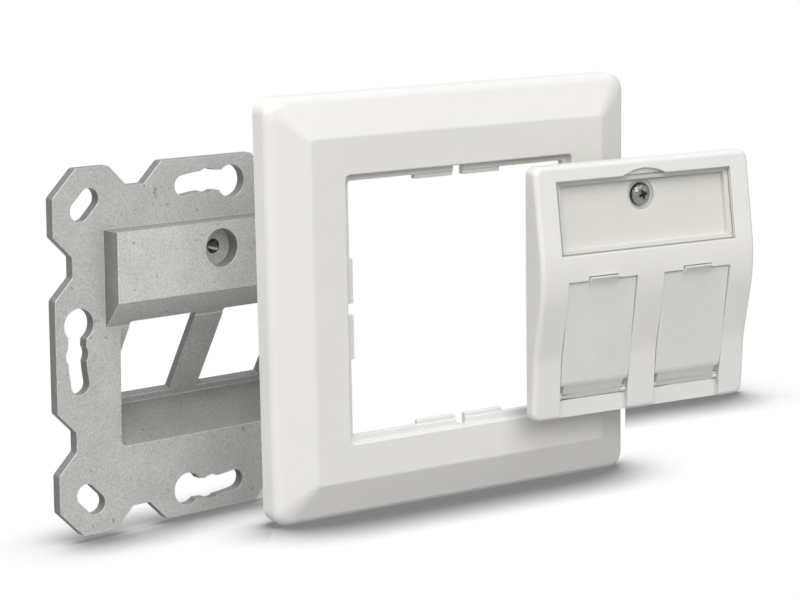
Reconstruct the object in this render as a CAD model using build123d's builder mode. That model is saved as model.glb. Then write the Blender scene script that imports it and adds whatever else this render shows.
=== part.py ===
from build123d import *
import math
import os

os.makedirs("parts", exist_ok=True)

# Frame of the whole layout: mm, +Z up, fronts face -Y, origin in the middle of the
# support frame's wall plane. Each unit is drawn square in its own frame, with its own
# back plane on Y=0, and is then put in its place in the photographed layout.
support_place = Location((0, 0, 0), (0, 1.1, 9.6))
cover_at = (38.5, -26.0, 8.2)
plate_inset = 4.1            # plate's middle, in from the cover frame's right edge
plate_ahead = 5.8            # plate's back, in front of the cover frame's face
plate_drop = 0.3

# What the three units share
box_screw_radius = 30.2      # wall-box screws, about 60 mm apart
port_pitch = 21.8            # between the two jacks
screw_height = 17.7          # fixing screw above the middle
seat_depth = 6.7             # wall to the centre plate's back, when fitted
screw_dia = 3.0
screw_length = 8.0

# Support frame
keyhole_edge = 4.6           # box screw circle to the frame's edge
support_size = 2 * (box_screw_radius + keyhole_edge)
support_thick = 2.2
support_round = 0.8
pad_half = 10.6              # half length of the straight pad on each side
notch_near = 14.6
notch_far = 18.4
notch_deep = 4.0
lobe_near = 22.4
corner_chamfer = 5.2
keyhole_round = 6.3
keyhole_width = 3.9
keyhole_bulge = 4.8
keyhole_angle = 10.7         # round end, from the side's middle
corner_slot_width = 4.1
corner_slot_length = 7.0
corner_slot_inset = 6.9
bar_half = 23.8              # raised bar across the top
bar_top = 22.9
bar_bottom = 9.6
wall_thick = 1.6
kink = (-2.8, 5.1)           # (y, z) where the bar's underside turns into the port wall
wall_tilt = 30.0             # port wall, from vertical
port_width = 15.1
port_height = 19.4
port_top_margin = 0.1
port_foot_margin = 1.6
pocket_half = 20.65
pocket_round = 1.2
counterbore_dia = 7.4
counterbore_depth = 2.9
boss_wall = 1.2              # round the counterbore
thread_dia = 2.5             # core of the M3 thread

# Cover frame
cover_size = 79.8
cover_corner = 3.0
cover_depth = 8.2
rim_depth = 5.0
bevel_width = 7.6
opening = 50.4
ledge_width = 1.2
ledge_inner = opening - 2 * ledge_width
ledge_front = cover_depth - seat_depth
ledge_thick = 1.6
shell = 1.8
tab_near = 1.1
tab_far = 9.5
tab_stand = 0.85             # past the ledge's edge
tab_root = 0.45              # into the ledge
rim_round = 2.4
face_round = 1.6
corner_round = 0.9           # face and opening corners
lip_round = 0.35
collar_wall = 1.3
rib_at = 15.0                # stiffening ribs behind the face
rib_back = 2.0
rib_thick = 1.2

# Centre plate
plate_clear = 0.5            # all round, in the frame's opening
plate_size = opening - 2 * plate_clear
plate_corner = 1.8
plate_wall = 1.7
top_depth = 3.15             # depth of the plate's side at its top
apex = (6.55, 3.0)           # (depth, z) where the two slopes would meet
knee = (3.15, -12.6)
apex_round = 30.0
knee_round = 20.0
plate_rim_round = 1.0
foot_depth = 2.3
label_width = 40.2
label_top = 21.8
label_bottom = 7.7
window_thick = 1.0
pocket_depth = 2.2
label_back = 1.4             # floor behind the label pocket
label_step = 1.0             # ledge the window lies on, above and below
label_side_step = 1.2
finger_round = 9.8
finger_rise = 1.2
window_gap = 0.12
head_dia = 5.2
head_high = 1.5
head_seat = 1.4              # depth of the seat under the screw's head
boss_dia = 7.0
boss_reach = 2.9
seat_clear = 0.35            # round the screw's head
shank_clear = 0.2

# Dust flaps
flap_gap = 0.12
flap_width = 15.7
flap_top = (5.6, 2.5)        # (depth, z)
flap_bend = (2.85, -17.2)
flap_thick = 1.2
flap_rest = 0.9              # what the flap's top closes on
flap_band = 2.7
grip_width = 6.2
grip_gap = 0.2
hinge = (1.0, -20.45)         # (depth, z) of the hinge line
pin_radius = 0.7
pin_gap = 0.04
ear_cut = 0.9                # notch at each end of the hub
pin_reach = 0.9
strip_depth = 1.1
strip_top = -21.3
jack_window_width = 13.9
flap_centres = (-port_pitch / 2, port_pitch / 2)

# Fixing screw
head_round = 1.1
head_lift = 0.02             # head off its seat
tip_chamfer = 0.4
recess_length = 2.9
recess_width = 0.6
recess_depth = 1.05

cover_place = Location(cover_at)
plate_offset = (cover_size / 2 - plate_inset, -cover_depth - plate_ahead, -plate_drop)
plate_place = cover_place * Location(plate_offset, (0, 0, -3))


def polar(x, z, turn):
    """Point (x, z) turned about the middle, in degrees."""
    c, n = math.cos(math.radians(turn)), math.sin(math.radians(turn))
    return (x * c - z * n, x * n + z * c)


def along(start, direction, distance):
    """(y, z) point at a distance from another one."""
    return (start[0] + distance * direction[0], start[1] + distance * direction[1])


def face_depth(z):
    """Depth of the centre plate's face above its back plane, before rounding."""
    corners = [(foot_depth, -plate_size / 2), knee, apex, (top_depth, plate_size / 2)]
    for (d0, z0), (d1, z1) in zip(corners, corners[1:]):
        if z <= z1 or z1 == corners[-1][1]:
            return d0 + (d1 - d0) * (z - z0) / (z1 - z0)


def face_knots(less, low, high):
    """(y, z) points of the plate's face, brought back by a thickness."""
    inner = [z for z in (knee[1], apex[1]) if low < z < high]
    return [(less - face_depth(z), z) for z in [low] + inner + [high]]


def flap_depth(z):
    """Depth of a dust flap's flat face."""
    slope = (flap_top[0] - flap_bend[0]) / (flap_top[1] - flap_bend[1])
    return flap_bend[0] + slope * (z - flap_bend[1])


# Support frame
half = support_size / 2
notch_floor = half - notch_deep
corner_cut = half - corner_chamfer
corner_slot_at = half - corner_slot_inset
side = [(pad_half, half), (notch_near, notch_floor), (notch_far, notch_floor), (lobe_near, half)]
corner = [(corner_cut, half), (half, corner_cut)]
next_side = [(z, x) for x, z in reversed(side)]
outline = [polar(x, z, -90 * k) for k in range(4) for x, z in side + corner + next_side]

tilt = math.radians(wall_tilt)
down = (math.sin(tilt), -math.cos(tilt))       # along the port wall, towards its foot
rear = (math.cos(tilt), math.sin(tilt))        # square to the port wall, backwards
foot = along(kink, down, port_top_margin + port_height + port_foot_margin)
lip = along(foot, rear, -(foot[0] + support_thick) / rear[0])
bevel_slope = (kink[1] - bar_bottom) / (kink[0] + seat_depth)
wedge_tip = (-support_thick, kink[1] + bevel_slope * (-support_thick - kink[0]))
wall_back = along(kink, rear, wall_thick)

bar_section = [
    (0, bar_top),
    (-seat_depth, bar_top),
    (-seat_depth, bar_bottom),
    kink,
    wedge_tip,
    (0, wedge_tip[1]),
]
bar_hollow = [
    (1, bar_top - wall_thick),
    (wall_thick - seat_depth, bar_top - wall_thick),
    (wall_thick - seat_depth, bar_bottom + 0.65),
    (wall_back[0] - 0.1, wall_back[1] + 0.2),
    along(wall_back, down, (1 - wall_back[0]) / down[0]),
]
pocket_section = [
    wedge_tip,
    wall_back,
    along(along(foot, rear, wall_thick), down, wall_thick),
    along(lip, down, wall_thick),
    (-support_thick, along(lip, down, wall_thick)[1]),
]
pocket_inside = [kink, foot, lip, (lip[0] - 2, lip[1]), (lip[0] - 2, kink[1])]
port_plane = Plane(origin=(0, *kink), x_dir=(1, 0, 0), z_dir=(0, -rear[0], -rear[1]))
keyhole_swing = CenterArc((0, 0), box_screw_radius, -keyhole_angle, 2 * keyhole_angle)

with BuildPart() as support_frame:
    with BuildSketch(Plane.XZ) as plate_outline:
        with BuildLine():
            Polyline(*outline, close=True)
        make_face()
        fillet(plate_outline.vertices(), radius=support_round)
        with PolarLocations(box_screw_radius, 4, start_angle=-keyhole_angle):
            Circle(keyhole_round / 2, mode=Mode.SUBTRACT)
        with PolarLocations(box_screw_radius, 4):
            Circle(keyhole_bulge / 2, mode=Mode.SUBTRACT)
        with PolarLocations(0, 4):
            SlotArc(keyhole_swing, keyhole_width, mode=Mode.SUBTRACT)
        with PolarLocations(corner_slot_at * math.sqrt(2), 4, start_angle=45):
            SlotOverall(corner_slot_length, corner_slot_width, rotation=90, mode=Mode.SUBTRACT)
    extrude(amount=support_thick)
    for section, reach, mode in (
        (bar_section, bar_half, Mode.ADD),
        (pocket_section, pocket_half + wall_thick, Mode.ADD),
        (bar_hollow, bar_half - wall_thick, Mode.SUBTRACT),
        (pocket_inside, pocket_half, Mode.SUBTRACT),
    ):
        with BuildSketch(Plane.YZ):
            with BuildLine():
                Polyline(*section, close=True)
            make_face()
        extrude(amount=reach, both=True, mode=mode)
    ramp_sides = edges().filter_by(Axis((0, 0, 0), (0, *rear)))
    fillet(ramp_sides.filter_by(lambda e: abs(abs(e.center().X) - pocket_half) < 0.01), radius=pocket_round)
    # Keystone ports
    with BuildSketch(port_plane):
        with Locations(*[(x, -port_top_margin - port_height / 2) for x in flap_centres]):
            Rectangle(port_width, port_height)
    extrude(amount=-2 * wall_thick, mode=Mode.SUBTRACT)
    # Threaded boss
    with BuildSketch(Plane.XZ):
        with Locations((0, screw_height)):
            Circle(counterbore_dia / 2 + boss_wall)
    extrude(amount=seat_depth - 0.5)
    with BuildSketch(Plane.XZ.offset(seat_depth)):
        with Locations((0, screw_height)):
            Circle(counterbore_dia / 2)
    extrude(amount=-counterbore_depth, mode=Mode.SUBTRACT)
    with BuildSketch(Plane.XZ.offset(seat_depth)):
        with Locations((0, screw_height)):
            Circle(thread_dia / 2)
    extrude(amount=-2 * seat_depth, mode=Mode.SUBTRACT)

# Cover frame
flat_size = cover_size - 2 * bevel_width
bevel_rise = (cover_depth - rim_depth) / bevel_width
inner_size = cover_size - 2 * shell
face_inside = cover_depth - shell
rim_inside = rim_depth + shell * bevel_rise - 1.08 * shell
inner_flat = inner_size - 2 * (face_inside - rim_inside) / bevel_rise
ledge_back = seat_depth - ledge_thick
collar_half = opening / 2 + collar_wall
tab_from = ledge_inner / 2 - tab_stand
tab_to = ledge_inner / 2 + tab_root
tab_mid = (tab_near + tab_far) / 2
rib_planes = [
    Plane(origin=(at * c, 0, at * n), x_dir=(0, 1, 0), z_dir=(c, 0, n))
    for c, n in ((1, 0), (0, -1), (-1, 0), (0, 1))
    for at in (-rib_at, rib_at)
]
rib_section = [
    (-rib_back, collar_half - 0.1),
    (-rib_back, inner_size / 2 + 0.1),
    (-rim_inside - 0.2, inner_size / 2 + 0.1),
    (-face_inside - 0.2, inner_flat / 2),
    (-face_inside - 0.2, collar_half - 0.1),
]

with BuildPart() as cover_frame:
    with BuildSketch(Plane.XZ):
        RectangleRounded(cover_size, cover_size, cover_corner)
    extrude(amount=rim_depth)
    with BuildSketch(Plane.XZ.offset(rim_depth)):
        RectangleRounded(cover_size, cover_size, cover_corner)
    with BuildSketch(Plane.XZ.offset(cover_depth)):
        RectangleRounded(flat_size, flat_size, corner_round)
    loft()
    fillet(edges().filter_by_position(Axis.Y, -rim_depth - 0.01, -rim_depth + 0.01), radius=rim_round)
    fillet(edges().filter_by_position(Axis.Y, -cover_depth - 0.01, -cover_depth + 0.01), radius=face_round)
    # Hollow back
    with BuildSketch(Plane.XZ):
        Rectangle(inner_size, inner_size)
    extrude(amount=rim_inside, mode=Mode.SUBTRACT)
    with BuildSketch(Plane.XZ.offset(rim_inside)):
        Rectangle(inner_size, inner_size)
    with BuildSketch(Plane.XZ.offset(face_inside)):
        Rectangle(inner_flat, inner_flat)
    loft(mode=Mode.SUBTRACT)
    # Collar round the opening, with the ledge that the centre plate sits on
    with BuildSketch(Plane.XZ.offset(ledge_back)):
        Rectangle(2 * collar_half, 2 * collar_half)
    extrude(amount=face_inside - ledge_back + 0.2)
    with BuildSketch(Plane.XZ.offset(seat_depth)):
        RectangleRounded(opening, opening, corner_round)
    extrude(amount=ledge_front + 1, mode=Mode.SUBTRACT)
    with BuildSketch(Plane.XZ):
        RectangleRounded(ledge_inner, ledge_inner, 0.6)
    extrude(amount=cover_depth, mode=Mode.SUBTRACT)
    # Snap tabs, two on each side with a gap between, and the ribs
    with BuildSketch(Plane.XZ.offset(ledge_back)):
        with PolarLocations(0, 4):
            with Locations((tab_mid, (tab_from + tab_to) / 2), (-tab_mid, (tab_from + tab_to) / 2)):
                Rectangle(tab_far - tab_near, tab_to - tab_from)
    extrude(amount=ledge_thick - 0.3)
    with BuildSketch(Plane.XZ.offset(ledge_back)):
        with PolarLocations((ledge_inner + opening) / 4, 4):
            Rectangle((opening - ledge_inner) / 2, 2 * tab_near)
    extrude(amount=ledge_thick, mode=Mode.SUBTRACT)
    with BuildSketch(*rib_planes):
        with BuildLine():
            Polyline(*rib_section, close=True)
        make_face()
    extrude(amount=rib_thick / 2, both=True)
    front_lip = edges().filter_by_position(Axis.Y, -cover_depth - 0.01, -cover_depth + 0.01)
    inner_lip = front_lip.filter_by(lambda e: max(abs(e.center().X), abs(e.center().Z)) < opening / 2 + 0.1)
    fillet(inner_lip, radius=lip_round)

# Centre plate
half = plate_size / 2
plate_section = [(0, -half), (-foot_depth, -half)]
plate_section += [(-knee[0], knee[1]), (-apex[0], apex[1]), (-top_depth, half), (0, half)]
label_seat = face_knots(window_thick, label_bottom, label_top)
label_pocket = face_knots(pocket_depth, label_bottom + label_step, label_top - label_step)
leg_inside = flap_width / 2 - flap_centres[0] + 1.2
rib_inside = flap_centres[1] - flap_width / 2 - 1.15
hollow_half = half - plate_wall - 0.5
hollow_foot = plate_wall - half
hollow_top = flap_top[1] - 0.1
hollows = (
    (pocket_depth + label_back, -hollow_half, hollow_half, label_bottom - 0.9, label_top - 1.2),
    (plate_wall, -hollow_half, hollow_half, flap_top[1] + 1.5, label_bottom - 1.5),
    (plate_wall, -half + plate_wall, -leg_inside, hollow_foot, hollow_top),
    (plate_wall, leg_inside, half - plate_wall, hollow_foot, hollow_top),
    (plate_wall, -rib_inside, rib_inside, hollow_foot, hollow_top),
)
flap_bed = flap_thick + 0.05
flap_recess = [
    (-9, flap_top[1] + flap_gap),
    (flap_bed - flap_depth(flap_top[1]), flap_top[1] + flap_gap),
    (flap_bed - flap_bend[0], flap_bend[1]),
    (1, flap_bend[1]),
    (1, strip_top),
    (-strip_depth, strip_top),
    (-strip_depth, -half - 1),
    (-9, -half - 1),
]

with BuildPart() as centre_plate:
    with BuildSketch(Plane.YZ) as plate_profile:
        with BuildLine():
            Polyline(*plate_section, close=True)
        make_face()
        fillet(plate_profile.vertices().sort_by_distance((-apex[0], apex[1], 0))[0], radius=apex_round)
        fillet(plate_profile.vertices().sort_by_distance((-knee[0], knee[1], 0))[0], radius=knee_round)
    extrude(amount=half, both=True)
    fillet(edges().filter_by(Axis.Y), radius=plate_corner)
    rim = edges().filter_by(lambda e: e.center().Y < -1.5).filter_by(Axis.Y, reverse=True)
    inside = half - plate_corner - 0.01
    rim = rim.filter_by(lambda e: abs(e.center().X) > inside or abs(e.center().Z) > inside)
    fillet(rim, radius=plate_rim_round)
    for less, x0, x1, low, high in hollows:
        with BuildSketch(Plane.YZ.offset(x0)):
            with BuildLine():
                Polyline((1, low), *face_knots(less, low, high), (1, high), close=True)
            make_face()
        extrude(amount=x1 - x0, mode=Mode.SUBTRACT)
    # Label recess in two steps, with a finger notch above it
    for floor, width in ((label_seat, label_width), (label_pocket, label_width - 2 * label_side_step)):
        with BuildSketch(Plane.YZ):
            with BuildLine():
                Polyline((-9, floor[0][1]), *floor, (-9, floor[-1][1]), close=True)
            make_face()
        extrude(amount=width / 2, both=True, mode=Mode.SUBTRACT)
    with BuildSketch(Plane.XZ.offset(face_depth(label_top) - 0.9)):
        with Locations((0, label_top + finger_rise - finger_round)):
            Circle(finger_round)
        with Locations((0, label_top + 2)):
            Rectangle(2 * finger_round, 4.02, mode=Mode.INTERSECT)
    extrude(amount=4, mode=Mode.SUBTRACT)
    # Screw boss, seat and clearance hole
    with BuildSketch(Plane.XZ.offset(-boss_reach)):
        with Locations((0, screw_height)):
            Circle(boss_dia / 2)
    extrude(amount=boss_reach + head_seat)
    with BuildSketch(Plane.XZ.offset(head_seat)):
        with Locations((0, screw_height)):
            Circle(head_dia / 2 + seat_clear)
    extrude(amount=6, mode=Mode.SUBTRACT)
    with BuildSketch(Plane.XZ.offset(-boss_reach)):
        with Locations((0, screw_height)):
            Circle(screw_dia / 2 + shank_clear)
    extrude(amount=boss_reach + 6, mode=Mode.SUBTRACT)
    # Flap recesses, jack windows, tab notches and hinge sockets
    for middle in flap_centres:
        with BuildSketch(Plane.YZ.offset(middle)):
            with BuildLine():
                Polyline(*flap_recess, close=True)
            make_face()
        extrude(amount=flap_width / 2, both=True, mode=Mode.SUBTRACT)
        with BuildSketch(Plane.XZ.offset(-1)):
            with Locations((middle, (flap_top[1] - flap_rest + flap_bend[1]) / 2)):
                Rectangle(jack_window_width, flap_top[1] - flap_rest - flap_bend[1] + 0.02)
        extrude(amount=9, mode=Mode.SUBTRACT)
        with BuildSketch(Plane.XZ.offset(flap_depth(flap_top[1]) - flap_bed)):
            with Locations((middle, flap_top[1] + 0.5)):
                Rectangle(grip_width + 2 * grip_gap, 0.96)
        extrude(amount=4, mode=Mode.SUBTRACT)
        with BuildSketch(Plane.YZ.offset(middle)):
            with Locations((-hinge[0], hinge[1])):
                Circle(pin_radius + pin_gap)
        extrude(amount=flap_width / 2 + pin_reach + 0.1, both=True, mode=Mode.SUBTRACT)

# Label window, clear, flush with the plate's face
window_low = label_bottom + window_gap
window_high = label_top - window_gap
window_section = face_knots(0.03, window_low, window_high)
window_section += reversed(face_knots(window_thick - 0.04, window_low, window_high))

with BuildPart() as label_window:
    with BuildSketch(Plane.YZ):
        with BuildLine():
            Polyline(*window_section, close=True)
        make_face()
    extrude(amount=label_width / 2 - window_gap, both=True)

# Dust flaps, drawn in the middle and put on their hinge lines
band_end = (-flap_bend[0] + 0.466 * flap_band, flap_bend[1] - flap_band)
flap_section = [
    (-flap_top[0], flap_top[1]),
    (-flap_bend[0], flap_bend[1]),
    band_end,
    (-hinge[0], hinge[1]),
    (-hinge[0] + 0.56, hinge[1] + 0.4),
    (flap_thick - flap_bend[0], flap_bend[1] - 0.1),
    (flap_thick - flap_top[0], flap_top[1]),
]
tab_section = [
    (flap_thick - flap_top[0], flap_top[1] - 1),
    (-flap_depth(flap_top[1] - 1.2) + 0.01, flap_top[1] - 1.2),
    (-flap_top[0] - 1.15, flap_top[1] + 0.5),
    (-flap_top[0] - 1.25, flap_top[1] + 0.8),
    (flap_thick - flap_top[0], flap_top[1] + 0.8),
]
flap_half = flap_width / 2 - flap_gap

with BuildPart() as dust_flap:
    with BuildSketch(Plane.YZ):
        with BuildLine():
            Polyline(*flap_section, close=True)
        make_face()
    extrude(amount=flap_half, both=True)
    with BuildSketch(Plane.XZ.offset(-1)):
        with Locations((flap_half - ear_cut / 2, hinge[1] + 0.25), (ear_cut / 2 - flap_half, hinge[1] + 0.25)):
            Rectangle(ear_cut, 4)
    extrude(amount=6, mode=Mode.SUBTRACT)
    with BuildSketch(Plane.YZ):
        with Locations((-hinge[0], hinge[1])):
            Circle(pin_radius)
    extrude(amount=flap_width / 2 + pin_reach, both=True)
    with BuildSketch(Plane.YZ):
        with BuildLine():
            Polyline(*tab_section, close=True)
        make_face()
    extrude(amount=grip_width / 2, both=True)

# Fixing screw, pan head with a cross recess
with BuildPart() as fixing_screw:
    with BuildSketch(Plane.XZ.offset(head_seat + head_lift)):
        with Locations((0, screw_height)):
            Circle(head_dia / 2)
    extrude(amount=head_high)
    fillet(edges().group_by(Axis.Y)[0], radius=head_round)
    with BuildSketch(Plane.XZ.offset(head_seat + 0.1)):
        with Locations((0, screw_height)):
            Circle(screw_dia / 2 - 0.03)
    extrude(amount=-screw_length - 0.1)
    chamfer(edges().group_by(Axis.Y)[-1], length=tip_chamfer)
    with BuildSketch(Plane.XZ.offset(head_seat + head_high + head_lift)):
        with Locations((0, screw_height)):
            Rectangle(recess_length, recess_width)
            Rectangle(recess_width, recess_length)
    extrude(amount=-recess_depth, mode=Mode.SUBTRACT)

left = Location((flap_centres[0], 0, 0))
right = Location((flap_centres[1], 0, 0))
layout = (
    ("support_frame", support_frame.part, support_place),
    ("cover_frame", cover_frame.part, cover_place),
    ("centre_plate", centre_plate.part, plate_place),
    ("label_window", label_window.part, plate_place),
    ("flap_left", dust_flap.part, plate_place * left),
    ("flap_right", dust_flap.part, plate_place * right),
    ("fixing_screw", fixing_screw.part, plate_place),
)
for name, shape, place in layout:
    placed = shape.moved(place)
    placed.label = name
    export_step(placed, f"parts/{name}.step")
    print(name, round(placed.volume), "mm3", placed.is_valid)
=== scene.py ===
import math

import bpy
from mathutils import Matrix, Vector


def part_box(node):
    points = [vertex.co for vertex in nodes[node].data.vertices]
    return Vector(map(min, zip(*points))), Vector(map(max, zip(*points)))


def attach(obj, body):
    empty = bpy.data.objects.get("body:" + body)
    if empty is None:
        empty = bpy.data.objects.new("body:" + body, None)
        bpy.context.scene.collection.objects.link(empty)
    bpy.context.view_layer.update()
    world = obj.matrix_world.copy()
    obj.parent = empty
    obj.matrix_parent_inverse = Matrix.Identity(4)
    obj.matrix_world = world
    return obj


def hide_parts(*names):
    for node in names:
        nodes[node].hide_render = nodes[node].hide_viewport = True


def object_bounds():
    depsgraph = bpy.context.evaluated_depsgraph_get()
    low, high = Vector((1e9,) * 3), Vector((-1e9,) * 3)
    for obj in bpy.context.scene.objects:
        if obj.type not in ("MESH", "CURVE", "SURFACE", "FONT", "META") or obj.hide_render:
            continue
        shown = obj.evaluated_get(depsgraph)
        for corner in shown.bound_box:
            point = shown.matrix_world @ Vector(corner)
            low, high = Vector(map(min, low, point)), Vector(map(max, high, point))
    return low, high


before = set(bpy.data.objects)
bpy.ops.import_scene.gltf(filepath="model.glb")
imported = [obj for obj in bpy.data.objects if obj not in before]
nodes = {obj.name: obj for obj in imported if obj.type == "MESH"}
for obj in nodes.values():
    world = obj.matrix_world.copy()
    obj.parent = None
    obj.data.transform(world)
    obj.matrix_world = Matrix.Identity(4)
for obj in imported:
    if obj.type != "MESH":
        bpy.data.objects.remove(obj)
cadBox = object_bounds()
mm = 0.001
coverLow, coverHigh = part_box("cover_frame")
coverBack = Vector(((coverLow.x + coverHigh.x) / 2, coverHigh.y, (coverLow.z + coverHigh.z) / 2))


def rotation(degrees, axis):
    return Matrix.Rotation(math.radians(degrees), 4, axis)


def shift(x, y, z):
    return Matrix.Translation(Vector((x, y, z)) * mm)


# Where the casting and the plate lie, as in the part's source
supportPlace = rotation(1.1, "Y") @ rotation(9.6, "Z")
platePlace = shift(74.3, -40.0, 7.9) @ rotation(-3, "Z")

print("frame loaded, pieces:", sorted(nodes))


# Camera

photoCamera = {
    "lens": 103.4,
    "sensorWidth": 36.0,
    "clip": (0.01, 20),
    "azimuth": -31.09,
    "elevation": 10.77,
    "roll": -0.95,
    "distance": 442.91 * mm,
    "aside": 7.89 * mm,
    "lift": 1.86 * mm,
}


def makeCamera(spec):
    upright = rotation(spec["azimuth"], "Z") @ rotation(90 - spec["elevation"], "X")
    axes = upright @ rotation(spec["roll"], "Z")
    back = upright @ Vector((0, 0, spec["distance"]))
    aside = axes @ Vector((-spec["aside"], -spec["lift"], 0))
    data = bpy.data.cameras.new("photoCamera")
    data.lens = spec["lens"]
    data.sensor_width = spec["sensorWidth"]
    data.clip_start, data.clip_end = spec["clip"]
    camera = bpy.data.objects.new("photoCamera", data)
    camera.matrix_world = Matrix.Translation(coverBack + back + aside) @ axes
    bpy.context.scene.collection.objects.link(camera)
    bpy.context.scene.camera = camera


makeCamera(photoCamera)
print("camera made")


# Shader nodes that the studio and the finishes share

def link(tree, source, target):
    tree.links.new(source, target)


def mathNode(tree, operation, *values):
    node = tree.nodes.new("ShaderNodeMath")
    node.operation = operation
    for socket, value in zip(node.inputs, values):
        if isinstance(value, (int, float)):
            socket.default_value = value
        else:
            link(tree, value, socket)
    return node.outputs[0]


def ramp(tree, value, low, high, first=0.0, last=1.0):
    node = tree.nodes.new("ShaderNodeMapRange")
    for socket, v in zip(node.inputs[1:5], (low, high, first, last)):
        socket.default_value = v
    link(tree, value, node.inputs["Value"])
    return node.outputs["Result"]


def along(tree, vector, direction):
    node = tree.nodes.new("ShaderNodeVectorMath")
    node.operation = "DOT_PRODUCT"
    node.inputs[1].default_value = direction
    link(tree, vector, node.inputs[0])
    return node.outputs["Value"]


def shaded(tree, colour, level):
    node = tree.nodes.new("ShaderNodeVectorMath")
    node.operation = "SCALE"
    link(tree, colour, node.inputs[0])
    link(tree, level, node.inputs["Scale"])
    return node.outputs["Vector"]


def seenDirectly(tree):
    path = tree.nodes.new("ShaderNodeLightPath")
    return mathNode(tree, "MAXIMUM", path.outputs["Is Camera Ray"], path.outputs["Is Transmission Ray"])


def choose(tree, switch, off, on):
    node = tree.nodes.new("ShaderNodeMix")
    node.data_type = "FLOAT"
    for socket, value in zip((node.inputs[0], node.inputs[2], node.inputs[3]), (switch, off, on)):
        if isinstance(value, (int, float)):
            socket.default_value = value
        else:
            link(tree, value, socket)
    return node.outputs[0]


def mixShaders(tree, switch, off, on):
    node = tree.nodes.new("ShaderNodeMixShader")
    for socket, source in zip(node.inputs, (switch, off, on)):
        link(tree, source, socket)
    return node.outputs[0]


def bareMaterial(name):
    material = bpy.data.materials.new(name)
    material.use_nodes = True
    tree = material.node_tree
    tree.nodes.clear()
    output = tree.nodes.new("ShaderNodeOutputMaterial")
    return material, tree, output.inputs["Surface"]


# Studio

studio = {
    "floorGap": 0.3 * mm,
    "floorSize": 8.0,
    "floorBounce": (0.34, 0.34, 0.34, 1),
    "skyBase": 0.50,
    "skyLean": (-0.05, -0.05, 0.12),
    "backdrop": 1.0,
}

# One thin plane under each unit takes its soft shadow, and is clear everywhere else
shadowSpec = {
    "reach": 15 * mm,
    "samples": 16,
    "darkest": 0.22,
    "open": (0.50, 0.97),
    "fall": 1.5,
}

# In mm: fade runs along Y and leaves out what stands over another unit's plane
shadowPlanes = (
    {
        "name": "supportShadow",
        "under": "support_frame",
        "fade": (-27, -17),
        "corners": ((-90, -27), (-1, -27), (9, -12), (60, -12), (60, 36), (-90, 36)),
    },
    {
        "name": "coverShadow",
        "under": "cover_frame",
        "fade": (-18, -26),
        "corners": ((-20, -70), (100, -70), (100, -16), (-20, -16)),
    },
    {
        "name": "plateShadow",
        "under": "centre_plate",
        "fade": (-75, -70),
        "corners": ((55.7, -62), (122, -62), (122, -20), (87.3, -20)),
    },
)

# A sun has an aim, and a panel stands at its place from the cover's back, turned to it
lamps = (
    {"name": "softKey", "kind": "SUN", "aim": (0.19, 0.64, -0.72), "spread": 60, "power": 2.6},
    {"name": "backFill", "kind": "SUN", "aim": (-0.25, -0.90, -0.22), "spread": 90, "power": 0.9},
    {"name": "leftFill", "kind": "AREA", "place": (-0.55, 0.05, 0.34), "size": (0.4, 0.4), "power": 1.5},
    {"name": "edgeStrip", "kind": "AREA", "place": (-0.75, -0.60, 0.25), "size": (0.06, 0.8), "power": 0.5},
)


def makeFloor(spec, height):
    bpy.ops.object.select_all(action="DESELECT")
    bpy.ops.mesh.primitive_plane_add(size=spec["floorSize"], location=(0, 0, height))
    floor = bpy.context.object
    floor.name = "studioFloor"
    material, tree, surface = bareMaterial("studioFloor")
    diffuse = tree.nodes.new("ShaderNodeBsdfDiffuse")
    diffuse.inputs["Color"].default_value = spec["floorBounce"]
    glow = tree.nodes.new("ShaderNodeEmission")
    glow.inputs["Strength"].default_value = spec["backdrop"]
    link(tree, mixShaders(tree, seenDirectly(tree), diffuse.outputs[0], glow.outputs[0]), surface)
    floor.data.materials.append(material)


def makeShadowFinish(spec, name, fade):
    material, tree, surface = bareMaterial(name)
    near = tree.nodes.new("ShaderNodeAmbientOcclusion")
    near.samples = spec["samples"]
    near.inputs["Distance"].default_value = spec["reach"]
    clear = mathNode(tree, "POWER", ramp(tree, near.outputs["AO"], *spec["open"]), spec["fall"])
    place = tree.nodes.new("ShaderNodeTexCoord")
    split = tree.nodes.new("ShaderNodeSeparateXYZ")
    link(tree, place.outputs["Object"], split.inputs[0])
    weight = ramp(tree, split.outputs["Y"], fade[0] * mm, fade[1] * mm)
    dark = mathNode(tree, "SUBTRACT", 1.0, ramp(tree, clear, 0.0, 1.0, spec["darkest"], 1.0))
    level = mathNode(tree, "SUBTRACT", 1.0, mathNode(tree, "MULTIPLY", dark, weight))
    path = tree.nodes.new("ShaderNodeLightPath")
    through = tree.nodes.new("ShaderNodeBsdfTransparent")
    link(tree, choose(tree, path.outputs["Is Camera Ray"], 1.0, level), through.inputs["Color"])
    link(tree, through.outputs[0], surface)
    return material


def makeShadowPlanes(spec, planes, gap):
    for plane in planes:
        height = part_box(plane["under"])[0].z - gap / 2
        corners = [(x * mm, y * mm, height) for x, y in plane["corners"]]
        mesh = bpy.data.meshes.new(plane["name"])
        mesh.from_pydata(corners, [], [range(len(corners))])
        mesh.materials.append(makeShadowFinish(spec, plane["name"], plane["fade"]))
        piece = bpy.data.objects.new(plane["name"], mesh)
        bpy.context.scene.collection.objects.link(piece)
        piece.visible_shadow = False


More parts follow.
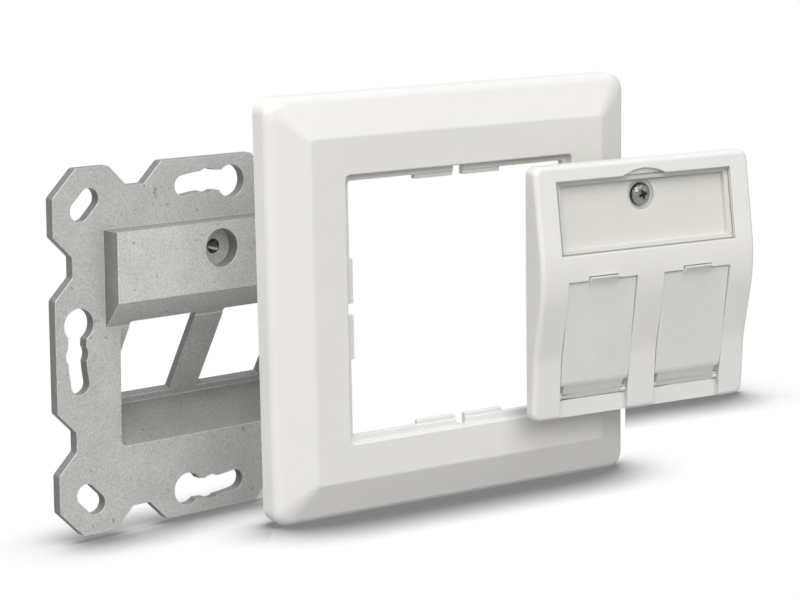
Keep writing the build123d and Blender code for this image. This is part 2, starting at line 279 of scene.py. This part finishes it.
def makeWorld(spec):
    world = bpy.data.worlds.new("studioWorld")
    bpy.context.scene.world = world
    world.use_nodes = True
    tree = world.node_tree
    tree.nodes.clear()
    output = tree.nodes.new("ShaderNodeOutputWorld")
    place = tree.nodes.new("ShaderNodeTexCoord")
    lean = along(tree, place.outputs["Generated"], spec["skyLean"])
    light = mathNode(tree, "MAXIMUM", mathNode(tree, "ADD", lean, spec["skyBase"]), 0.0)
    sky = tree.nodes.new("ShaderNodeBackground")
    link(tree, choose(tree, seenDirectly(tree), light, spec["backdrop"]), sky.inputs["Strength"])
    link(tree, sky.outputs[0], output.inputs["Surface"])


def makeLamp(spec):
    data = bpy.data.lights.new(spec["name"], spec["kind"])
    data.energy = spec["power"]
    if spec["kind"] == "SUN":
        data.angle = math.radians(spec["spread"])
        place = Vector((0, 0, 0))
        aim = Vector(spec["aim"])
    else:
        data.shape = "RECTANGLE"
        data.size, data.size_y = spec["size"]
        place = coverBack + Vector(spec["place"])
        aim = coverBack - place
    lamp = bpy.data.objects.new(spec["name"], data)
    lamp.matrix_world = Matrix.Translation(place) @ aim.to_track_quat("-Z", "Y").to_matrix().to_4x4()
    bpy.context.scene.collection.objects.link(lamp)


makeFloor(studio, cadBox[0].z - studio["floorGap"])
makeShadowPlanes(shadowSpec, shadowPlanes, studio["floorGap"])
makeWorld(studio)
for spec in lamps:
    makeLamp(spec)
bpy.context.scene.view_settings.view_transform = "Standard"
print("studio made")


# Finishes: patterns are in mm, and each noise is scale, detail and roughness

mouldedLook = {
    "flow": (0.35, 1, 1.4),
    "broad": (0.09, 2),
    "fine": (1.3, 4, 0.65),
    "skin": (3.2, 4, 0.7),
    "broadShare": 0.45,
    "fineShare": 0.55,
    "skinShare": 0.8,
    "roughSwing": 0.05,
}

castLook = {
    "blotch": (0.16, 4, 0.6),
    "grain": (2.2, 5, 0.7),
    "sand": (4.5, 2, 0.6),
    "dots": (0.85, 1),
    "blotchSwing": 0.06,
    "grainSwing": 0.17,
    "sandSwing": 0.16,
    "dotCut": (0.70, 0.78),
    "dotDark": 0.35,
    "roughSwing": 0.08,
    "sandHeight": 0.5,
}

# Painted shade on the casting: its colour is darkened in its recess and on faces that look up or to a side, standing
# in for shade there
paintedShadeLook = {
    "recess": (1.0, 6.0, 0.78, 1.0),
    "upward": (0.0, 1.0, 1.0, 0.50),
    "sideways": (0.2, 1.0, 1.0, 0.36),
}

noiseMiddle = (0.3, 0.7)  # where most of a noise's values lie
grainOutputs = (("Color", "NodeSocketColor"), ("Roughness", "NodeSocketFloat"), ("Height", "NodeSocketFloat"))


def newGroup(name, inputs, outputs):
    group = bpy.data.node_groups.new(name, "ShaderNodeTree")
    for label, kind, value in inputs:
        socket = group.interface.new_socket(name=label, in_out="INPUT", socket_type=kind)
        socket.default_value = value
    for label, kind in outputs:
        group.interface.new_socket(name=label, in_out="OUTPUT", socket_type=kind)
    given = group.nodes.new("NodeGroupInput")
    out = group.nodes.new("NodeGroupOutput")
    return group, given, out


def inMillimetres(tree, stretch=(1, 1, 1)):
    place = tree.nodes.new("ShaderNodeTexCoord")
    scale = tree.nodes.new("ShaderNodeMapping")
    scale.inputs["Scale"].default_value = [s / mm for s in stretch]
    link(tree, place.outputs["Object"], scale.inputs["Vector"])
    return scale.outputs["Vector"]


def noise(tree, vector, scale, detail, rough=0.5):
    node = tree.nodes.new("ShaderNodeTexNoise")
    node.inputs["Scale"].default_value = scale
    node.inputs["Detail"].default_value = detail
    node.inputs["Roughness"].default_value = rough
    link(tree, vector, node.inputs["Vector"])
    return node.outputs["Fac"]


def swing(tree, value, amount):
    return ramp(tree, value, *noiseMiddle, -amount, amount)


def makeMouldedGrain(look):
    inputs = (
        ("Color", "NodeSocketColor", (0.7, 0.7, 0.7, 1)),
        ("Mottle", "NodeSocketFloat", 0.03),
        ("Roughness", "NodeSocketFloat", 0.4),
    )
    group, given, out = newGroup("mouldedGrain", inputs, grainOutputs)
    place = inMillimetres(group)
    broad = noise(group, place, *look["broad"])
    fine = noise(group, inMillimetres(group, look["flow"]), *look["fine"])
    skin = noise(group, place, *look["skin"])
    broadTone = mathNode(group, "MULTIPLY", broad, look["broadShare"])
    fineTone = mathNode(group, "MULTIPLY", fine, look["fineShare"])
    skinTone = mathNode(group, "MULTIPLY", mathNode(group, "SUBTRACT", skin, 0.5), look["skinShare"])
    tone = mathNode(group, "ADD", mathNode(group, "ADD", broadTone, fineTone), skinTone)
    tone = mathNode(group, "SUBTRACT", tone, 0.5)
    tone = mathNode(group, "MULTIPLY_ADD", tone, given.outputs["Mottle"], 1.0)
    rough = mathNode(group, "ADD", given.outputs["Roughness"], swing(group, fine, look["roughSwing"]))
    link(group, shaded(group, given.outputs["Color"], tone), out.inputs["Color"])
    link(group, rough, out.inputs["Roughness"])
    link(group, mathNode(group, "ADD", skin, fine), out.inputs["Height"])
    return group


def makeCastGrain(look):
    inputs = (
        ("Color", "NodeSocketColor", (0.45, 0.45, 0.43, 1)),
        ("Specks", "NodeSocketFloat", 1.0),
        ("Roughness", "NodeSocketFloat", 0.5),
    )
    group, given, out = newGroup("castGrain", inputs, grainOutputs)
    place = inMillimetres(group)
    blotch = noise(group, place, *look["blotch"])
    grain = noise(group, place, *look["grain"])
    sand = noise(group, place, *look["sand"])
    dots = noise(group, place, *look["dots"])
    tone = mathNode(group, "ADD", swing(group, blotch, look["blotchSwing"]), swing(group, grain, look["grainSwing"]))
    tone = mathNode(group, "ADD", tone, swing(group, sand, look["sandSwing"]))
    speck = ramp(group, dots, *look["dotCut"], 0, look["dotDark"])
    speck = mathNode(group, "MULTIPLY", speck, given.outputs["Specks"])
    tone = mathNode(group, "ADD", mathNode(group, "SUBTRACT", tone, speck), 1.0)
    rough = mathNode(group, "ADD", given.outputs["Roughness"], swing(group, grain, look["roughSwing"]))
    height = mathNode(group, "ADD", mathNode(group, "MULTIPLY", sand, look["sandHeight"]), grain)
    link(group, shaded(group, given.outputs["Color"], tone), out.inputs["Color"])
    link(group, rough, out.inputs["Roughness"])
    link(group, height, out.inputs["Height"])
    return group


# painted shade: scales the casting's colour down in its recess and on upward and sideways faces
def makePaintedShade(look):
    inputs = (("Light", "NodeSocketColor", (0.5, 0.5, 0.5, 1)),)
    outputs = (("Color", "NodeSocketColor"), ("Mask", "NodeSocketFloat"))
    group, given, out = newGroup("paintedShadeFaces", inputs, outputs)
    geometry = group.nodes.new("ShaderNodeNewGeometry")
    split = group.nodes.new("ShaderNodeSeparateXYZ")
    link(group, geometry.outputs["Normal"], split.inputs[0])
    front = supportPlace.to_3x3() @ Vector((0, -1, 0))
    across = supportPlace.to_3x3() @ Vector((1, 0, 0))
    depth = along(group, inMillimetres(group), front)
    side = mathNode(group, "ABSOLUTE", along(group, geometry.outputs["Normal"], across))
    mask = mathNode(group, "MULTIPLY", ramp(group, depth, *look["recess"]), ramp(group, split.outputs["Z"], *look["upward"]))
    mask = mathNode(group, "MULTIPLY", mask, ramp(group, side, *look["sideways"]))
    link(group, shaded(group, given.outputs["Light"], mask), out.inputs["Color"])
    link(group, mask, out.inputs["Mask"])
    return group


mouldedGrain = makeMouldedGrain(mouldedLook)
castGrain = makeCastGrain(castLook)
paintedShadeFaces = makePaintedShade(paintedShadeLook)

plasticShader = {"IOR": 1.48, "Specular IOR Level": 0.45}

# grain is what the group gets, shader what stays plain, and bump its strength and reach in mm; a casting's last
# colour is the one that painted shade darkens
finishSpecs = (
    {
        "name": "coverPlastic", "group": mouldedGrain, "shader": plasticShader, "bump": (0.30, 0.03),
        "grain": {"Color": (0.700, 0.690, 0.660, 1), "Mottle": 0.055, "Roughness": 0.34},
    },
    {
        "name": "platePlastic", "group": mouldedGrain, "shader": plasticShader, "bump": (0.30, 0.03),
        "grain": {"Color": (0.700, 0.690, 0.660, 1), "Mottle": 0.060, "Roughness": 0.36},
    },
    {
        "name": "flapPlastic", "group": mouldedGrain, "shader": plasticShader, "bump": (0.45, 0.03),
        "grain": {"Color": (0.670, 0.665, 0.640, 1), "Mottle": 0.20, "Roughness": 0.46},
    },
    {
        "name": "castZinc", "group": castGrain, "shader": {"Metallic": 0.4}, "bump": (0.35, 0.05),
        "grain": {"Specks": 1.0, "Roughness": 0.55}, "paintedShadeColour": (0.70, 0.70, 0.675, 1),
    },
    # a lighter zinc colour on the casting's rounded edges
    {
        "name": "lightEdgeZinc", "group": castGrain, "shader": {"Metallic": 0.5}, "bump": (0.2, 0.03),
        "grain": {"Specks": 0.0, "Roughness": 0.38}, "paintedShadeColour": (0.94, 0.94, 0.91, 1),
    },
    # painted shade: near-black zinc on the boss's thread and mouth, standing in for the dark inside of the hole
    {
        "name": "shadedThreadZinc", "group": castGrain, "shader": {"Metallic": 0.9}, "bump": (0.05, 0.01),
        "grain": {"Color": (0.13, 0.13, 0.125, 1), "Specks": 0.0, "Roughness": 0.22},
    },
    {
        "name": "nickel", "group": castGrain, "shader": {"Metallic": 1.0}, "bump": (0.05, 0.01),
        "grain": {"Color": (0.31, 0.305, 0.30, 1), "Specks": 0.0, "Roughness": 0.13},
    },
    # painted shade: near-black nickel for the screw head's lower flank and cross recess, standing in for the shade
    # there
    {
        "name": "paintedShadeNickel", "group": castGrain, "shader": {"Metallic": 0.6}, "bump": (0.05, 0.01),
        "grain": {"Color": (0.025, 0.025, 0.025, 1), "Specks": 0.0, "Roughness": 0.24},
    },
    # painted shade: dark grey on the pane's rounded edges, standing in for the dark edge lines of a clear pane
    {
        "name": "paneEdgeShade", "group": mouldedGrain, "shader": plasticShader, "bump": (0.1, 0.01),
        "grain": {"Color": (0.30, 0.30, 0.29, 1), "Mottle": 0.05, "Roughness": 0.30},
    },
)

clearSpec = {
    "Base Color": (0.885, 0.885, 0.868, 1),
    "IOR": 1.30,
    "Transmission Weight": 1.0,
}
clearHaze = {"noise": (0.8, 4, 0.6), "roughness": (0.0, 0.03)}


def makeFinish(spec):
    material = bpy.data.materials.new(spec["name"])
    material.use_nodes = True
    tree = material.node_tree
    shader = tree.nodes["Principled BSDF"]
    effect = tree.nodes.new("ShaderNodeGroup")
    effect.node_tree = spec["group"]
    for label, value in spec["grain"].items():
        effect.inputs[label].default_value = value
    for label, value in spec["shader"].items():
        shader.inputs[label].default_value = value
    # painted shade: the casting's colour goes through the group that darkens its recess and its upward and sideways
    # faces
    if "paintedShadeColour" in spec:
        faces = tree.nodes.new("ShaderNodeGroup")
        faces.node_tree = paintedShadeFaces
        faces.inputs["Light"].default_value = spec["paintedShadeColour"]
        link(tree, faces.outputs["Color"], effect.inputs["Color"])
    strength, reach = spec["bump"]
    bump = tree.nodes.new("ShaderNodeBump")
    bump.inputs["Strength"].default_value = strength
    bump.inputs["Distance"].default_value = reach * mm
    link(tree, effect.outputs["Color"], shader.inputs["Base Color"])
    link(tree, effect.outputs["Roughness"], shader.inputs["Roughness"])
    link(tree, effect.outputs["Height"], bump.inputs["Height"])
    link(tree, bump.outputs["Normal"], shader.inputs["Normal"])
    return material


def makeClear(plain, haze):
    material = bpy.data.materials.new("clearPlastic")
    material.use_nodes = True
    tree = material.node_tree
    shader = tree.nodes["Principled BSDF"]
    for label, value in plain.items():
        shader.inputs[label].default_value = value
    cloud = noise(tree, inMillimetres(tree), *haze["noise"])
    link(tree, ramp(tree, cloud, *noiseMiddle, *haze["roughness"]), shader.inputs["Roughness"])
    through = tree.nodes.new("ShaderNodeBsdfTransparent")
    path = tree.nodes.new("ShaderNodeLightPath")
    passed = mathNode(tree, "MAXIMUM", path.outputs["Is Shadow Ray"], path.outputs["Is Diffuse Ray"])
    surface = tree.nodes["Material Output"].inputs["Surface"]
    link(tree, mixShaders(tree, passed, shader.outputs[0], through.outputs[0]), surface)
    return material


finishes = {spec["name"]: makeFinish(spec) for spec in finishSpecs}
finishes["clearPlastic"] = makeClear(clearSpec, clearHaze)
print("finishes made")


# Skins: merged copies of the CAD pieces with rounded edges

def activate(piece, *others):
    bpy.ops.object.select_all(action="DESELECT")
    for one in (piece, *others):
        one.select_set(True)
    bpy.context.view_layer.objects.active = piece


def applyAll(piece):
    activate(piece)
    for modifier in list(piece.modifiers):
        bpy.ops.object.modifier_apply(modifier=modifier.name)


def moveMesh(piece, matrix):
    piece.data.transform(matrix)
    piece.data.update()


def selectMesh():
    bpy.ops.object.mode_set(mode="EDIT")
    bpy.ops.mesh.select_all(action="SELECT")


def newCube(x, y, z):
    bpy.ops.object.select_all(action="DESELECT")
    bpy.ops.mesh.primitive_cube_add(size=1)
    cube = bpy.context.object
    moveMesh(cube, Matrix.Diagonal((x * mm, y * mm, z * mm, 1)))
    return cube


def cutAway(piece, name, cutter):
    modifier = piece.modifiers.new(name, "BOOLEAN")
    modifier.operation = "DIFFERENCE"
    modifier.object = cutter
    modifier.solver = "EXACT"


def roundEdges(piece, name, width, above):
    modifier = piece.modifiers.new(name, "BEVEL")
    modifier.width = width * mm
    modifier.segments = 2
    modifier.limit_method = "ANGLE"
    modifier.angle_limit = math.radians(above)
    modifier.use_clamp_overlap = False
    return modifier


# Lengths in mm and angles in degrees, for every skin
skinWork = {"doubles": 0.001, "roundAbove": 32, "smoothBelow": 50, "faceWeight": 100}

# merge is the angle below which flat neighbours join, and band the flap's middle across
skins = (
    {
        "node": "support_frame", "piece": "supportCasting", "body": "base", "slot": "cast_zinc",
        "merge": 0.1, "edge": 0.13, "finish": "castZinc", "edgeFinish": "lightEdgeZinc",
    },
    {
        "node": "cover_frame", "piece": "coverMoulding", "body": "base", "slot": "cover_plastic",
        "merge": 0.1, "edge": 0.14, "finish": "coverPlastic",
    },
    {
        "node": "centre_plate", "piece": "plateMoulding", "body": "base", "slot": "plate_plastic",
        "merge": 0.0, "edge": 0.12, "finish": "platePlastic",
    },
    {
        "node": "flap_left", "piece": "leftFlapMoulding", "body": "left_flap", "slot": "flap_plastic",
        "band": -10.9, "merge": 0.0, "edge": 0.10, "finish": "flapPlastic",
    },
    {
        "node": "flap_right", "piece": "rightFlapMoulding", "body": "right_flap", "slot": "flap_plastic",
        "band": 10.9, "merge": 0.0, "edge": 0.10, "finish": "flapPlastic",
    },
    {
        "node": "label_window", "piece": "windowPane", "body": "base", "slot": "clear_plastic",
        "merge": 0.1, "edge": 0.13, "finish": "clearPlastic", "edgeFinish": "paneEdgeShade",
    },
)

# The flat band along a flap's foot: where it bends off, and the block that cuts it
bandCut = {"bend": (-2.85, -17.2), "lean": 25.0, "halfWidth": 6.83, "length": 5.0, "deep": 2.0, "below": 1.2}


def flattenBand(piece, middle, spec):
    cutter = newCube(2 * spec["halfWidth"], spec["deep"], spec["length"])
    lower = shift(0, -spec["deep"] / 2, -spec["length"] / 2 - spec["below"])
    moveMesh(cutter, platePlace @ shift(middle, *spec["bend"]) @ rotation(spec["lean"], "X") @ lower)
    cutAway(piece, "flatBand", cutter)
    applyAll(piece)
    bpy.data.objects.remove(cutter)


def makeSkin(spec, work):
    piece = bpy.data.objects.new(spec["piece"], nodes[spec["node"]].data.copy())
    bpy.context.scene.collection.objects.link(piece)
    activate(piece)
    selectMesh()
    bpy.ops.mesh.remove_doubles(threshold=work["doubles"] * mm)
    bpy.ops.mesh.normals_make_consistent(inside=False)
    if spec["merge"]:
        bpy.ops.mesh.dissolve_limited(angle_limit=math.radians(spec["merge"]), use_dissolve_boundaries=False)
    bpy.ops.object.mode_set(mode="OBJECT")
    if "band" in spec:
        flattenBand(piece, spec["band"], bandCut)
    piece.data.materials.clear()
    piece.data.materials.append(finishes[spec["finish"]])
    modifier = roundEdges(piece, "edgeRound", spec["edge"], work["roundAbove"])
    modifier.miter_outer = "MITER_ARC"
    if "edgeFinish" in spec:
        piece.data.materials.append(finishes[spec["edgeFinish"]])
        modifier.material = 1
    applyAll(piece)
    bpy.ops.object.shade_smooth_by_angle(angle=math.radians(work["smoothBelow"]))
    weighted = piece.modifiers.new("flatNormals", "WEIGHTED_NORMAL")
    weighted.mode = "FACE_AREA"
    weighted.weight = work["faceWeight"]
    weighted.keep_sharp = True
    applyAll(piece)
    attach(piece, spec["body"])
    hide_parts(spec["node"])
    print("skin", piece.name, len(piece.data.polygons))


for spec in skins:
    makeSkin(spec, skinWork)


# Fixing screw and the boss's thread: in mm, as radius and height along the axis

screwSpec = {
    "headRound": (
        (0.0, 1.46), (0.7, 1.44), (1.3, 1.32), (1.8, 1.06), (2.12, 0.70),
        (2.24, 0.34), (2.25, 0.04), (2.18, 0.0), (1.2, 0.0),
    ),
    "headSteps": 64,
    "edge": 0.05,
    "edgeAbove": 40,
    "smoothBelow": 32,
    "flank": 0.75,
    "recessLength": 2.6,
    "recessWidth": 0.66,
    "recessDeep": 1.1,
    "recessTop": 1.5,
    "recessFoot": (0.45, 0.8),  # shares of its length and width at the recess floor
    "seat": 1.42,
    "height": 17.7,
    "turned": 18,
    "start": -7.45,
    "rootRadius": 1.17,
    "crestRadius": 1.46,
    "crestHalf": 0.06,
    "pitch": 0.5,
    "turns": 14,
    "threadSteps": 28,
    "tip": ((1.17, -7.42), (1.17, -7.62), (0.92, -7.96), (0.0, -7.98)),
}

bossSpec = {
    "height": 17.7,
    "start": 0.35,
    "rootRadius": 1.28,
    "crestRadius": 1.02,
    "crestHalf": 0.05,
    "pitch": 0.5,
    "turns": 6,
    "threadSteps": 32,
    "smoothBelow": 32,
    "mouth": ((1.46, 3.80), (1.44, 3.84), (1.30, 3.84), (1.16, 3.68), (1.16, 3.60)),
}

turnedWork = {"merge": 0.001, "doubles": 0.002}
faceFront = rotation(90, "X")  # local +Z to the front, -Y


def wire(name, points):
    mesh = bpy.data.meshes.new(name)
    edges = [(i, i + 1) for i in range(len(points) - 1)]
    mesh.from_pydata([(r * mm, 0, z * mm) for r, z in points], edges, [])
    piece = bpy.data.objects.new(name, mesh)
    bpy.context.scene.collection.objects.link(piece)
    return piece


def turned(name, points, steps, rise=0.0, rounds=1):
    piece = wire(name, points)
    modifier = piece.modifiers.new("turning", "SCREW")
    modifier.axis = "Z"
    modifier.steps = steps
    modifier.render_steps = steps
    modifier.screw_offset = rise * mm
    modifier.iterations = rounds
    modifier.use_merge_vertices = rise == 0
    modifier.merge_threshold = turnedWork["merge"] * mm
    applyAll(piece)
    selectMesh()
    bpy.ops.mesh.remove_doubles(threshold=turnedWork["doubles"] * mm)
    bpy.ops.mesh.normals_make_consistent(inside=False)
    bpy.ops.object.mode_set(mode="OBJECT")
    return piece


def turnThread(name, spec):
    root, crest, low = spec["rootRadius"], spec["crestRadius"], spec["start"]
    middle = low + spec["pitch"] / 2
    points = (
        (root, low),
        (crest, middle - spec["crestHalf"]),
        (crest, middle + spec["crestHalf"]),
        (root, low + spec["pitch"]),
    )
    return turned(name, points, spec["threadSteps"], spec["pitch"], spec["turns"])


# the second slot takes the painted-shade nickel
def addNickels(piece, inPaintedShade):
    piece.data.materials.append(finishes["nickel"])
    piece.data.materials.append(finishes["paintedShadeNickel"])
    for face in piece.data.polygons:
        if inPaintedShade(face):
            face.material_index = 1


def crossCutter(spec):
    bars = []
    for angle in (0, 90):
        bar = newCube(spec["recessLength"], spec["recessWidth"], 2 * spec["recessDeep"])
        for vertex in bar.data.vertices:
            if vertex.co.z < 0:
                vertex.co.x *= spec["recessFoot"][0]
                vertex.co.y *= spec["recessFoot"][1]
        moveMesh(bar, shift(0, 0, spec["recessTop"]) @ rotation(angle, "Z"))
        # painted shade on every face of the cross recess
        addNickels(bar, lambda face: True)
        bars.append(bar)
    return bars


def makeHead(spec):
    head = turned("screwHead", spec["headRound"], spec["headSteps"])
    activate(head)
    selectMesh()
    bpy.ops.mesh.select_non_manifold()
    bpy.ops.mesh.fill()
    bpy.ops.mesh.select_all(action="SELECT")
    bpy.ops.mesh.normals_make_consistent(inside=False)
    bpy.ops.object.mode_set(mode="OBJECT")
    # painted shade on the head's lower flank
    addNickels(head, lambda face: face.center.z < spec["flank"] * mm)
    cutters = crossCutter(spec)
    for cutter in cutters:
        cutAway(head, "recess", cutter)
    roundEdges(head, "edge", spec["edge"], spec["edgeAbove"])
    applyAll(head)
    for cutter in cutters:
        bpy.data.objects.remove(cutter)
    return head


def makeScrew(spec):
    screw = makeHead(spec)
    thread = turnThread("screwThread", spec)
    tip = turned("screwTip", spec["tip"], spec["threadSteps"])
    for piece in (thread, tip):
        piece.data.materials.append(finishes["nickel"])
    activate(screw, thread, tip)
    bpy.ops.object.join()
    screw.name = "fixingScrew"
    seat = platePlace @ shift(0, -spec["seat"], spec["height"])
    moveMesh(screw, seat @ faceFront @ rotation(spec["turned"], "Z"))
    activate(screw)
    bpy.ops.object.shade_smooth_by_angle(angle=math.radians(spec["smoothBelow"]))
    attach(screw, "screw")
    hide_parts("fixing_screw")


def makeBossThread(spec):
    thread = turnThread("bossThread", spec)
    mouth = turned("bossMouth", spec["mouth"], spec["threadSteps"])
    activate(thread, mouth)
    bpy.ops.object.join()
    moveMesh(thread, supportPlace @ shift(0, 0, spec["height"]) @ faceFront)
    thread.data.flip_normals()
    # painted shade: the near-black zinc stands in for the hole's dark inside
    thread.data.materials.clear()
    thread.data.materials.append(finishes["shadedThreadZinc"])
    activate(thread)
    bpy.ops.object.shade_smooth_by_angle(angle=math.radians(spec["smoothBelow"]))
    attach(thread, "base")


makeScrew(screwSpec)
makeBossThread(bossSpec)
print("screw and thread made")
